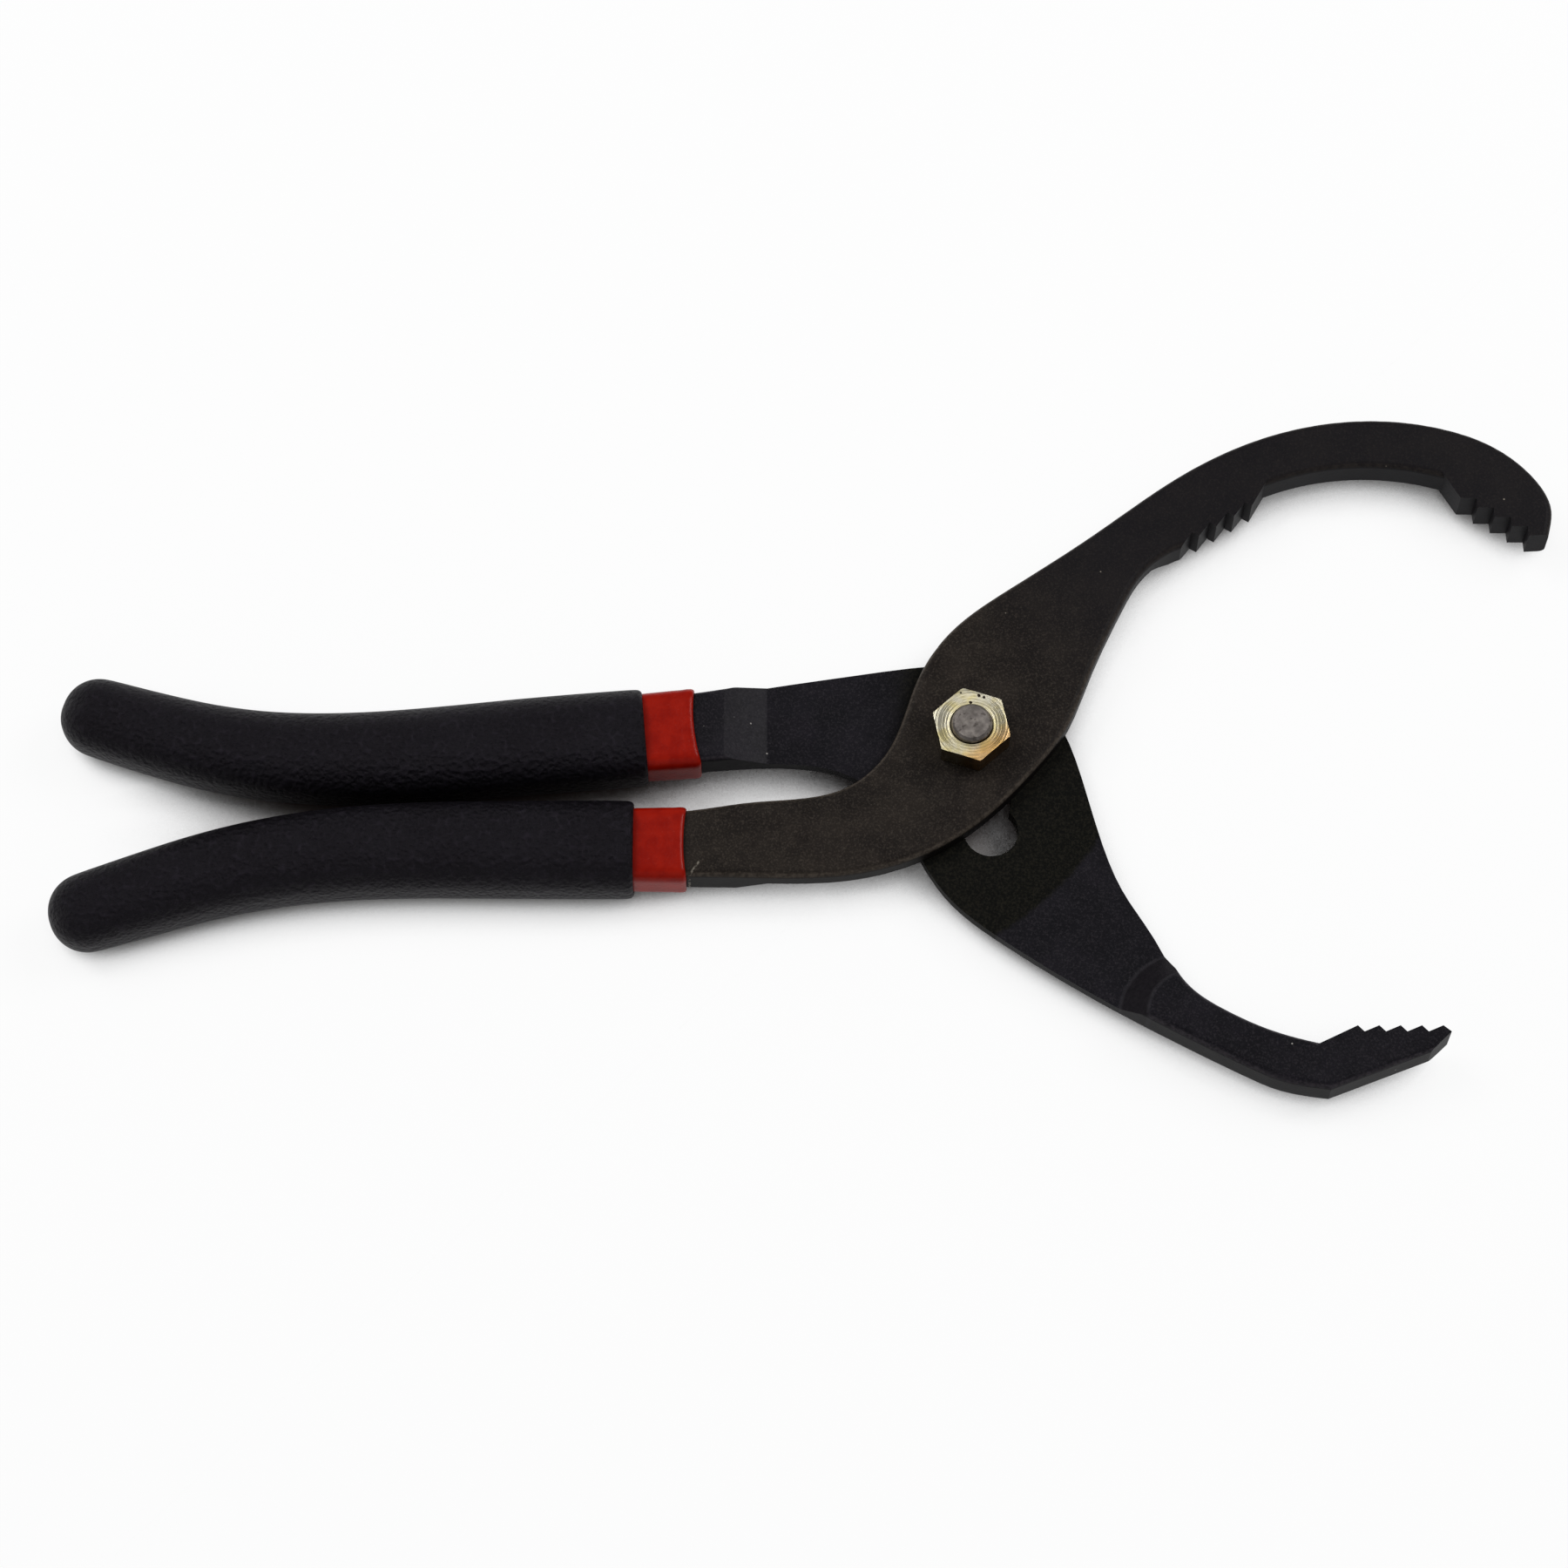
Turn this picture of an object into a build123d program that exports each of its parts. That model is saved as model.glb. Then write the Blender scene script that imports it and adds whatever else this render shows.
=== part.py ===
from build123d import *
from math import cos, radians, sin, sqrt
import os

# Slip-joint pliers with wide curved jaws for round canisters, in millimetres.
# The origin is on the pivot's axis, on the plane that the pliers rest on. +Z is up through the
# nut, +X runs towards the jaws and +Y towards the jaw of the front lever. The two levers lap in
# one plane: each is thinned at the joint, and a bolt through both slides along a lobed slot in
# the rear lever and turns in a round hole in the front one.

# ---------------------------------------------------------------- driving dimensions
# Plan size
jaw_reach = 122.0            # pivot axis to the far end of the front jaw
handle_reach = 186.0         # pivot axis to the far ends of the grips

# Levers
lever_thickness = 7.8        # forged thickness of jaws and handles
rear_lap_thickness = 3.6     # what is left of the rear lever under the joint face
lap_gap = 0.10               # between the two joint faces
edge_round = 1.3             # rounding along the forged edges
front_strap_width = 14.0     # front handle where it enters its sleeve
rear_strap_width = 15.2      # rear handle where it enters its sleeve
tang_end_width = 8.0         # both handles at their hidden ends
tang_reach = 0.93            # share of the handle's centre line that holds steel
handle_ramp_start = 41.5     # pivot axis to the foot of the ramp towards the handle
handle_ramp_run = 8.8        # length of that ramp
jaw_ramp_run = 5.5           # length of the ramp towards the jaw
cone_radius = 8.5            # nose of the full thickness at the foot of each jaw
root_margin = 9.0            # edges with their middle this near the root stay sharp

# Teeth
tooth_count = 5
front_inner_pitch = 4.4      # pad beside the web of the front jaw
front_outer_pitch = 4.05     # pad at the end of the front jaw
rear_pitch = 4.25            # pad at the end of the rear jaw
front_inner_depth = 1.45
front_outer_depth = 1.75
rear_depth = 1.3
front_inner_lean = 0.83      # where the gullet lies between two tips, as a share of the pitch
front_outer_lean = 0.69
rear_lean = 0.3

# Bolt, nut and slot
thread_diameter = 9.5        # 3/8 in bolt
shank_diameter = 11.0        # two-flatted shank that fills a lobe of the slot
hexagon_flats = 14.3         # 9/16 in across flats, for the nut and the bolt head
head_height = 4.2
head_turn = 12.0             # turn of the bolt head and of the nut about the bolt
nut_turn = -18.0
nut_height = 5.6
bolt_stand_out = 1.2         # bolt end above the nut
bolt_end_chamfer = 0.8
hexagon_bevel_slope = 0.5    # fall of the corner bevel against its run
hexagon_bevel_inset = 0.98   # top circle of that bevel as a share of the flats
thread_fit = 0.02            # between the bolt and the nut's bore
running = 0.05               # radial and axial clearance of the moving joint
slot_positions = 4
slot_pitch = 6.6             # from one lobe of the slot to the next
slot_angle = -78.3           # direction of the slot, seen from the first lobe

# Handle covers
sleeve_wall = 1.1            # dipped inner sleeve
sleeve_corner = 2.6
front_collar_edge = 58.4     # pivot axis to the open end of the front inner sleeve
rear_collar_edge = 56.4
collar_length = 10.0         # length of inner sleeve left showing
grip_root_width = 19.8
grip_waist_width = 18.6
grip_tail_width = 15.8
grip_root_thickness = 14.8
grip_tail_thickness = 14.2
grip_lip = 1.2               # bevel round the grip's open end
grip_corner_share = 0.42     # corner radius of the grips as a share of their thickness

# ---------------------------------------------------------------- heights, from the above
lever_bottom = head_height + running
lap_height = lever_bottom + rear_lap_thickness
lever_top = lever_bottom + lever_thickness
handle_height = lever_bottom + lever_thickness / 2
grip_swell_thickness = 2 * handle_height     # so that grips and bolt head rest on one plane
nut_bottom = lever_top + running
bolt_top = nut_bottom + nut_height + bolt_stand_out

lobe_radius = shank_diameter / 2 + running
neck_half = sqrt(lobe_radius ** 2 - (slot_pitch / 2) ** 2)
flat_half = neck_half - running
slot_way = Vector(cos(radians(slot_angle)), sin(radians(slot_angle)))

# The plan of both heads is drawn for a jaw that reaches 122 mm and grows with jaw_reach.
plan = jaw_reach / 122.0


def at(x, y):
    """A point of the head's plan."""
    return Vector(x * plan, y * plan)


front_root = at(-64, -23.7)
rear_root = at(-62, 1.5)
front_root_way = Vector(1, 0)
rear_root_way = Vector(1, 0.09).normalized()


# ---------------------------------------------------------------- shared shapes
def tooth_pad(first, angle, pitch, depth, lean, inward):
    """Saw teeth from the first tip on: each gullet lies lean of a pitch on, and depth in."""
    way = Vector(cos(radians(angle)), sin(radians(angle)))
    into = Vector(-way.Y, way.X) * inward
    points = []
    for tooth in range(tooth_count):
        tip = first + way * (pitch * tooth)
        points += [tip, tip + way * (pitch * lean) + into * depth]
    return points[:-1]


def head_blank(edges):
    """Full-thickness slab inside a closed outline of edges."""
    face = make_face(edges)
    return Pos(0, 0, lever_bottom) * extrude(face, lever_thickness)


def round_edges(blank, away_from):
    """Round the long edges of both faces, but not the teeth or the end that meets the tang."""
    chosen = []
    for edge in blank.edges():
        flat = abs(edge.bounding_box().size.Z) < 0.01
        long = edge.length > 2 * front_inner_pitch
        middle = Vector((edge @ 0.5).X, (edge @ 0.5).Y)
        if flat and long and (middle - away_from).length > root_margin:
            chosen.append(edge)
    return fillet(chosen, edge_round)


def handle_line(root, root_way, bows):
    """Centre line of a handle, from its root to the far end of its grip."""
    run = handle_reach - abs(root.X)
    points = [root] + [Vector(root.X - run * along, root.Y + side) for along, side in bows]
    last = (points[-1] - points[-2]).normalized()
    line = Spline(*points, tangents=[-root_way, last])
    return Pos(0, 0, handle_height) * line


def section(line, along, width, thickness, corner):
    """Rounded rectangle square to a handle's centre line."""
    centre = line @ along
    way = line % along
    plane = Plane(origin=centre, x_dir=(-way.Y, way.X, 0), z_dir=way)
    return plane * RectangleRounded(width, thickness, corner)


def blend(values, share):
    """Smooth curve through three values, the middle one half-way."""
    first, middle, last = values
    start_part = first * (1 - share) * (1 - 2 * share)
    middle_part = middle * 4 * share * (1 - share)
    return start_part + middle_part + last * share * (2 * share - 1)


def tang(line, root_width, reach):
    """Tapered handle bar inside its covers."""
    stations = [0, 0.3, 0.6, 0.85, 1]
    bars = []
    for part in stations:
        width = root_width + (tang_end_width - root_width) * part
        bars.append(section(line, part * reach, width, lever_thickness, edge_round))
    return loft(bars)


def sleeve(line, root_width, root_way, collar_edge, reach):
    """Dipped inner sleeve, solid; the lever is cut out of it afterwards."""
    start = line @ 0
    lead = abs(start.X) - collar_edge
    full = line.length
    wall = 2 * sleeve_wall
    sections = []
    across = (root_way.Y, -root_way.X, 0)
    open_end = Plane(origin=start + root_way * lead, x_dir=across, z_dir=-root_way)
    rim = RectangleRounded(root_width + wall, lever_thickness + wall, sleeve_corner)
    sections.append(open_end * rim)
    for part in [0, 0.3, 0.6, 0.85, 1]:
        width = root_width + (tang_end_width - root_width) * part + wall
        along = part * (reach + sleeve_wall / full)
        sections.append(section(line, along, width, lever_thickness + wall, sleeve_corner))
    return loft(sections)


def grip(line, grip_edge, hole):
    """Moulded outer grip with a round end, hollowed by what it is pushed over."""
    full = line.length
    root = (grip_edge - abs((line @ 0).X)) / full
    dome = grip_tail_width / 2 / full
    lip = grip_lip / full
    widths = [grip_root_width, grip_waist_width, grip_tail_width]
    thicknesses = [grip_root_thickness, grip_swell_thickness, grip_tail_thickness]
    mouth_width = grip_root_width - 2 * grip_lip
    mouth_thickness = grip_root_thickness - 2 * grip_lip
    corner = grip_corner_share * mouth_thickness
    rings = [section(line, root, mouth_width, mouth_thickness, corner)]
    body_steps = 10
    for step in range(body_steps + 1):
        share = step / body_steps
        along = root + lip + (1 - dome - root - lip) * share
        width = blend(widths, share)
        thickness = blend(thicknesses, share)
        rings.append(section(line, along, width, thickness, grip_corner_share * thickness))
    for angle in (20, 40, 58, 74):
        shrink = cos(radians(angle))
        along = 1 - dome + dome * sin(radians(angle))
        width = grip_tail_width * shrink
        thickness = grip_tail_thickness * shrink
        rings.append(section(line, along, width, thickness, grip_corner_share * thickness))
    return loft(rings, ruled=True) - hole


# ---------------------------------------------------------------- levers
def front_outline():
    """Plan of the front lever from its root to its jaw."""
    half = front_strap_width / 2
    top_root = front_root + Vector(0, half)
    low_root = front_root - Vector(0, half)
    inner = tooth_pad(at(44.4, 42.8), 31.8, front_inner_pitch, front_inner_depth, front_inner_lean, 1)
    outer = tooth_pad(at(103, 53.9), -32.4, front_outer_pitch, front_outer_depth, front_outer_lean, 1)
    tip = outer[-1] + Vector(4.2, 0.2)
    back = [top_root] + [
        at(x, y)
        for x, y in [
            (-44, -14.4), (-25, -11), (-16.5, -2.5), (-11, 12), (-3.5, 23.8), (8, 33), (26, 45.6),
            (45, 59.6), (62, 68.2), (83.7, 72.4), (101, 70.3), (115, 63), (121.8, 52.5),
        ]
    ] + [tip]
    under = [low_root] + [
        at(x, y)
        for x, y in [
            (-44, -30.9), (-28, -30.7), (-14.2, -27.8), (2.3, -18.3), (12.4, -8), (19.1, 0.8),
            (25, 14.5), (32, 29.8), (36.5, 37.2),
        ]
    ] + [inner[0]]
    relief_from = inner[-1] + Vector(2.9, 5.1)
    relief_to = outer[0] + Vector(-3, 5.1)
    relief_mid = (relief_from + relief_to) * 0.5 + Vector(1.5, 3.4)
    return [
        Spline(*back, tangents=[front_root_way, Vector(-0.25, -1)]),
        Polyline(tip, *reversed(outer), relief_to),
        ThreePointArc(relief_to, relief_mid, relief_from),
        Polyline(relief_from, *reversed(inner)),
        Spline(*under, tangents=[front_root_way, Vector(1, 0.35)]),
        Line(low_root, top_root),
    ]


def rear_outline():
    """Plan of the rear lever from its root to its jaw."""
    side = Vector(-rear_root_way.Y, rear_root_way.X) * (rear_strap_width / 2)
    top_root = rear_root + side
    low_root = rear_root - side
    pad = tooth_pad(at(76, -62.9), 0, rear_pitch, rear_depth, rear_lean, -1)
    valley = pad[0] + Vector(-7.2, -3.5)
    tip = pad[-1] + Vector(1.6, -1.3)
    heel = at(70.2, -76.1)
    inner = [top_root] + [
        at(x, y)
        for x, y in [
            (-41, 12.4), (-22, 15.4), (-6, 17.4), (8, 15.5), (17.5, 6), (22.8, -8), (26.3, -21.5),
            (30.6, -33), (36.5, -43), (43, -54.2), (50, -59.3), (58.5, -63.4),
        ]
    ] + [valley]
    outer = [low_root] + [
        at(x, y)
        for x, y in [
            (-48, -4.9), (-34, -4.9), (-24, -7.6), (-15.5, -15.5), (-10, -26), (-4.5, -34.3),
            (5.1, -42.5), (17.2, -50.7), (36.8, -62.3), (55.8, -72.3),
        ]
    ] + [heel]
    return [
        Spline(*inner, tangents=[rear_root_way, Vector(1, -0.22)]),
        Polyline(valley, *pad, tip, at(90.4, -68.2), heel),
        Spline(*outer, tangents=[rear_root_way, Vector(1, -0.12)]),
        Line(low_root, top_root),
    ]


def ramp_blocks(foot_height, face_height, cone_centre, far_side):
    """Where a lever keeps its full thickness: handle end with its ramp, and jaw end with its ramp.

    The blocks are wide at foot_height, the joint face, and end at face_height, the outer face."""
    big = 2 * handle_reach
    rise = face_height - foot_height
    profile = Polyline(
        (-handle_ramp_start, foot_height),
        (-handle_ramp_start - handle_ramp_run, face_height),
        (-big, face_height),
        (-big, foot_height),
        (-handle_ramp_start, foot_height),
    )
    handle = extrude(Plane.XZ * make_face(profile), big, both=True)
    low, high = min(foot_height, face_height), max(foot_height, face_height)
    wide = cone_radius + jaw_ramp_run
    radii = (wide, cone_radius) if rise > 0 else (cone_radius, wide)
    nose = Pos(cone_centre.X, cone_centre.Y, (low + high) / 2) * Cone(*radii, high - low)
    beyond = Pos(cone_centre.X, 0, low) * Box(
        big, big, high - low, align=(Align.MIN, far_side, Align.MIN)
    )
    return handle + nose + beyond


def slot_cutter():
    """The lobed slot: one round lobe for each position of the bolt."""
    lobes = [
        Pos(slot_way.X * slot_pitch * place, slot_way.Y * slot_pitch * place)
        * Circle(lobe_radius)
        for place in range(slot_positions)
    ]
    plan_view = lobes[0]
    for lobe in lobes[1:]:
        plan_view = plan_view + lobe
    return Pos(0, 0, lever_bottom - 1) * extrude(plan_view, rear_lap_thickness + 2)


def front_lever():
    blank = round_edges(head_blank(front_outline()), front_root)
    keep = ramp_blocks(lap_height + lap_gap / 2, lever_bottom, at(46, 51), Align.MIN)
    under = Pos(0, 0, lever_bottom - 1) * Box(
        4 * handle_reach, 4 * handle_reach, rear_lap_thickness + 1 + lap_gap / 2,
        align=(Align.CENTER, Align.CENTER, Align.MIN),
    )
    hole = Pos(0, 0, lap_height) * Cylinder(thread_diameter / 2 + running, 4 * lever_thickness)
    return blank - (under - keep) - hole + tang(front_line, front_strap_width, tang_reach)


def rear_lever():
    blank = round_edges(head_blank(rear_outline()), rear_root)
    keep = ramp_blocks(lap_height - lap_gap / 2, lever_top, at(43, -60), Align.MAX)
    over = Pos(0, 0, lap_height - lap_gap / 2) * Box(
        4 * handle_reach, 4 * handle_reach, lever_thickness,
        align=(Align.CENTER, Align.CENTER, Align.MIN),
    )
    return blank - (over - keep) - slot_cutter() + tang(rear_line, rear_strap_width, tang_reach)


# ---------------------------------------------------------------- bolt and nut
def hexagon(flats, height, turn):
    """Hexagonal prism with its upper corners bevelled by a cone."""
    corner = flats / sqrt(3)
    prism = extrude(Rot(0, 0, turn) * RegularPolygon(corner, 6), height)
    slope = (corner - flats / 2) * hexagon_bevel_slope
    dome = Cylinder(corner, height - slope, align=(Align.CENTER, Align.CENTER, Align.MIN))
    bevel = Pos(0, 0, height - slope) * Cone(
        corner, flats / 2 * hexagon_bevel_inset, slope, align=(Align.CENTER, Align.CENTER, Align.MIN)
    )
    return prism & (dome + bevel)


def pivot_bolt():
    head = Pos(0, 0, head_height) * Rot(180, 0, 0) * hexagon(hexagon_flats, head_height, head_turn)
    upright = (Align.CENTER, Align.CENTER, Align.MIN)
    shank_length = lap_height - head_height
    flats = Box(2 * shank_diameter, 2 * flat_half, shank_length, align=upright)
    shank = Cylinder(shank_diameter / 2, shank_length, align=upright)
    shank = shank & (Rot(0, 0, slot_angle) * flats)
    journal = Cylinder(thread_diameter / 2, bolt_top - lap_height, align=upright)
    journal = chamfer(journal.edges().sort_by(Axis.Z)[-1], bolt_end_chamfer)
    return head + Pos(0, 0, head_height) * shank + Pos(0, 0, lap_height) * journal


def pivot_nut():
    body = hexagon(hexagon_flats, nut_height, nut_turn)
    bore = Cylinder(thread_diameter / 2 + thread_fit, 4 * nut_height)
    return Pos(0, 0, nut_bottom) * (body - bore)


# ---------------------------------------------------------------- build and write
front_line = handle_line(
    front_root, front_root_way,
    [(0.255, 0), (0.526, -1.0), (0.724, -5.2), (0.872, -10.9), (1, -16.2)],
)
rear_line = handle_line(
    rear_root, rear_root_way,
    [(0.226, -2.4), (0.532, -5.2), (0.709, -3.7), (0.854, 0.7), (1, 6.4)],
)

front = front_lever()
rear = rear_lever()
front_cover = sleeve(front_line, front_strap_width, front_root_way, front_collar_edge, tang_reach)
rear_cover = sleeve(rear_line, rear_strap_width, rear_root_way, rear_collar_edge, tang_reach)
nodes = {
    "front_lever": front,
    "rear_lever": rear,
    "pivot_bolt": pivot_bolt(),
    "pivot_nut": pivot_nut(),
    "front_inner_sleeve": front_cover - front,
    "rear_inner_sleeve": rear_cover - rear,
    "front_grip": grip(front_line, front_collar_edge + collar_length, front_cover),
    "rear_grip": grip(rear_line, rear_collar_edge + collar_length, rear_cover),
}

os.makedirs("parts", exist_ok=True)
for name, shape in nodes.items():
    export_step(shape, f"parts/{name}.step")
    size = [round(value, 1) for value in shape.bounding_box().size]
    print(name, len(shape.solids()), round(shape.volume), size)
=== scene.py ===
# %% [markdown]
# # Pliers for round canisters
#
# The object is a pair of large slip-joint pliers. Two forged steel levers cross at a bolt, a nut
# holds them together, and each handle wears two covers: a thin red dip and, over it, a thick black
# grip. The levers come straight from the CAD model and only get a finish here. The bolt, the nut
# and the four covers are modelled again, because their small roundings decide how they look.
#
# ## The frame
#
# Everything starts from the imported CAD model. It is loaded first, in metres, and nothing in it is
# moved. Its box is kept, so that the finished object can be compared with it.

# %% Load the frame
import bmesh
import bpy
from math import cos, pi, radians, sin, sqrt
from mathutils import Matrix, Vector


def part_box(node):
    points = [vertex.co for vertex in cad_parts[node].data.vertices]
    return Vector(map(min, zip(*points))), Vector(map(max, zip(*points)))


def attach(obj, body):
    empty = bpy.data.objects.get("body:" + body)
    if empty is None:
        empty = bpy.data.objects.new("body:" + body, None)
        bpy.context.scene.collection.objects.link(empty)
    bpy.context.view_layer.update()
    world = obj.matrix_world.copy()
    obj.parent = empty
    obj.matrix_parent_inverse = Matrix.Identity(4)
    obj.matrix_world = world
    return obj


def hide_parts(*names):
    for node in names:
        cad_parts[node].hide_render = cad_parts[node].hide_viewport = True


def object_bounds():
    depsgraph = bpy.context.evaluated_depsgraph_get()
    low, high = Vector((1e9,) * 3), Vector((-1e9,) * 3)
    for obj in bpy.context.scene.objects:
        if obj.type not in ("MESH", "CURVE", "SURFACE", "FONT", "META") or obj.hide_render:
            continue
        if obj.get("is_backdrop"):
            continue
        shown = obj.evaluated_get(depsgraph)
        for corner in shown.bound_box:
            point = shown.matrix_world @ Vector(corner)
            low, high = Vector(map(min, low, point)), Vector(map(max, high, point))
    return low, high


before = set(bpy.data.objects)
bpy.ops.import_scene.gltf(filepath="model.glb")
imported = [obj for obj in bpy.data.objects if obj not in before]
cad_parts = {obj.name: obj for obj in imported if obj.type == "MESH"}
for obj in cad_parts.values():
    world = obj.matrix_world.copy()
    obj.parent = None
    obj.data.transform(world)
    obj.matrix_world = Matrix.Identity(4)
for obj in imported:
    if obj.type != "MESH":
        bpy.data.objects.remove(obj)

MM = 0.001
cad_box = [[float(value) for value in corner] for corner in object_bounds()]
nut_low, nut_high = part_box("pivot_nut")
bolt_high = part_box("pivot_bolt")[1]
lever_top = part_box("front_lever")[1].z
handle_height = (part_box("front_lever")[0].z + lever_top) / 2
print("box in mm", [[round(value * 1000, 1) for value in corner] for corner in cad_box])

# %% [markdown]
# ## Camera
#
# The pliers lie flat and are seen from well above, 23 degrees away from straight down. A long
# lens keeps the far handle and the near jaw at almost the same scale. The camera is placed by
# turning a straight-down camera back from the point that it looks at.

# %% Camera
TILT = radians(23)               # away from straight down
DISTANCE = 0.955
AIM = Vector((-38.05, -10.84, 12.05)) * MM

lens = bpy.data.cameras.new("camera")
lens.lens = 108
lens.sensor_width = 36
camera = bpy.data.objects.new("camera", lens)
camera.rotation_euler = (TILT, 0, 0)
camera.location = AIM + Vector((0, -sin(TILT), cos(TILT))) * DISTANCE
bpy.context.scene.collection.objects.link(camera)
bpy.context.scene.camera = camera
print("camera at", [round(v, 4) for v in camera.location])

# %% [markdown]
# ## Shader maths as sums
#
# A procedural finish is mostly arithmetic on masks and noises. To keep it readable, a socket is
# wrapped in a small class with Python's operators on it, so that `1 - mask * 0.4` adds the two
# Math nodes by itself. Every other node comes from one method, which takes the node's type, its
# settings and what goes into its sockets.

# %% Sockets that can be added and multiplied
class Value:
    """An output socket. Each operator on it adds one Math node and returns its output."""

    def __init__(self, finish, socket):
        self.finish = finish
        self.socket = socket

    def math(self, operation, *values):
        """One Math node on the values given."""
        return self.finish.node("ShaderNodeMath", {"operation": operation}, dict(enumerate(values)))

    def __add__(self, other):
        return self.math("ADD", self, other)

    def __sub__(self, other):
        return self.math("SUBTRACT", self, other)

    def __rsub__(self, other):
        return self.math("SUBTRACT", other, self)

    def __mul__(self, other):
        return self.math("MULTIPLY", self, other)

    def __truediv__(self, other):
        return self.math("DIVIDE", self, other)

    def __gt__(self, other):
        return self.math("GREATER_THAN", self, other)

    def __abs__(self):
        return self.math("ABSOLUTE", self)

    __radd__ = __add__
    __rmul__ = __mul__


class Finish:
    """A material with a single shader. Values given by socket name are the same all over it."""

    def __init__(self, name, **fixed):
        self.material = bpy.data.materials.new(name)
        self.material.use_nodes = True
        self.tree = self.material.node_tree
        self.shader = next(n for n in self.tree.nodes if n.type == "BSDF_PRINCIPLED")
        for socket, value in fixed.items():
            self.shader.inputs[socket.replace("_", " ")].default_value = value
        self.place = self.node("ShaderNodeTexCoord", output="Object")

    def node(self, kind, settings=None, inputs=None, output=0):
        """Adds a node and returns one of its outputs."""
        node = self.tree.nodes.new(kind)
        for key, value in (settings or {}).items():
            setattr(node, key, value)
        for key, value in (inputs or {}).items():
            self.feed(node.inputs[key], value)
        return Value(self, node.outputs[output])

    def feed(self, socket, value):
        """Links a value to a socket, or sets a plain number or colour there."""
        if isinstance(value, Value):
            self.tree.links.new(value.socket, socket)
        else:
            socket.default_value = value

    def noise(self, size, detail=2, roughness=0.5, output=0):
        """Cloudy noise, with features about size millimetres across."""
        inputs = {"Vector": self.place, "Scale": 1000 / size,
                  "Detail": detail, "Roughness": roughness}
        return self.node("ShaderNodeTexNoise", inputs=inputs, output=output)

    def cells(self, size, feature="F1", place=None):
        """Distance inside random cells, about size millimetres apart."""
        inputs = {"Vector": place or self.place, "Scale": 1000 / size}
        return self.node("ShaderNodeTexVoronoi", {"feature": feature}, inputs)

    def fade(self, value, start, end):
        """0 before start and 1 after end, with a smooth step between."""
        inputs = {"Value": value, "From Min": start, "From Max": end, "To Min": 0.0, "To Max": 1.0}
        return self.node("ShaderNodeMapRange", {"interpolation_type": "SMOOTHSTEP"}, inputs)

    def blend(self, share, first, second):
        """Mix of two colours."""
        inputs = {0: share, 6: first, 7: second}
        return self.node("ShaderNodeMix", {"data_type": "RGBA"}, inputs, output=2)

    def bump(self, height, distance):
        """Relief. height is a value from 0 to 1, and distance is its full depth in millimetres."""
        inputs = {"Height": height, "Distance": distance * MM, "Strength": 1.0}
        return self.node("ShaderNodeBump", inputs=inputs)

    def use(self, **varying):
        """Feeds the shader's sockets that change over the surface."""
        for socket, value in varying.items():
            self.feed(self.shader.inputs[socket.replace("_", " ")], value)


def shade(red, green, blue):
    """A colour from its usual 0 to 255 values, made linear for the shader."""
    parts = [value / 255 for value in (red, green, blue)]
    linear = [part / 12.92 if part <= 0.04045 else ((part + 0.055) / 1.055) ** 2.4
              for part in parts]
    return linear + [1.0]


print("a mid grey is", round(shade(128, 128, 128)[0], 3), "in linear light")


# %% [markdown]
# ## Forged black steel
#
# The levers are drop forged, tumbled and blackened, so the finish is almost black but never even.
# Large soft clouds change its tone, a fine grain breaks up the reflections, small pits show as
# pale specks, the side walls get painted shade, and the rounded edges are lighter, partly rubbed
# and partly a painted highlight. The rounding can be found from the surface's own direction: a flat
# face points straight up, a side wall points sideways, and only the rounding lies between. That
# needs no painted mask.
#
# The front lever is a warm, brownish black. The rear one is a cooler, bluish black, except on the
# ground face that the front lever slides over, which is olive, coarser and ends at a broad arc.

# %% Forged steel
def forged(name, dark, light, rubbed_and_highlight, speck_tone, extra):
    """Blackened forging. extra(finish, colour, rough) adds to the colour and the roughness."""
    finish = Finish(name, Specular_IOR_Level=0.06)
    normal = finish.node("ShaderNodeNewGeometry", output="Normal")
    flat = abs(finish.node("ShaderNodeSeparateXYZ", inputs={0: normal}, output="Z"))
    rounding = finish.fade(flat, 0.15, 0.45) * (1 - finish.fade(flat, 0.72, 0.97))
    clouds = finish.noise(9, 4, 0.62)
    grain = finish.noise(0.42, 3, 0.7)
    pits = finish.cells(3.4)
    speck = (1 - finish.fade(pits, 0.03, 0.07)) * (finish.noise(6, 1) > 0.56)
    colour = finish.blend(finish.fade(clouds, 0.35, 0.7), dark, light)
    colour = finish.blend(finish.fade(grain, 0.45, 0.75) * 0.4, colour, rubbed_and_highlight)
    # Painted shade: the side walls, which face sideways, are darkened.
    side = 1 - finish.fade(flat, 0.05, 0.4)
    colour = finish.blend(side * 0.75, colour, shade(8, 7, 8))
    # The rounded edges are lightened in patches, partly as rubbed wear and partly as a painted
    # highlight.
    wear_and_highlight = finish.fade(finish.noise(0.8, 3, 0.6), 0.3, 0.7) * 0.6 + 0.2
    colour = finish.blend(rounding * wear_and_highlight, colour, rubbed_and_highlight)
    rough = 0.42 + clouds * 0.14 - rounding * 0.08
    colour, rough = extra(finish, colour, rough)
    colour = finish.blend(speck * 0.7, colour, speck_tone)
    relief = finish.bump(grain * 0.5 + finish.noise(1.5, 2) * 0.5, 0.05)
    finish.use(Base_Color=colour, Roughness=rough, Normal=relief)
    return finish.material


def along(finish, axis):
    """One coordinate of the surface's place, in metres."""
    return finish.node("ShaderNodeSeparateXYZ", inputs={0: finish.place}, output="XYZ".index(axis))


def distance_from(finish, x, y):
    """Distance in millimetres from an upright line."""
    across = along(finish, "X") * 1000 - x
    up = along(finish, "Y") * 1000 - y
    squared = across * across + up * up
    return squared.math("SQRT", squared)


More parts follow.
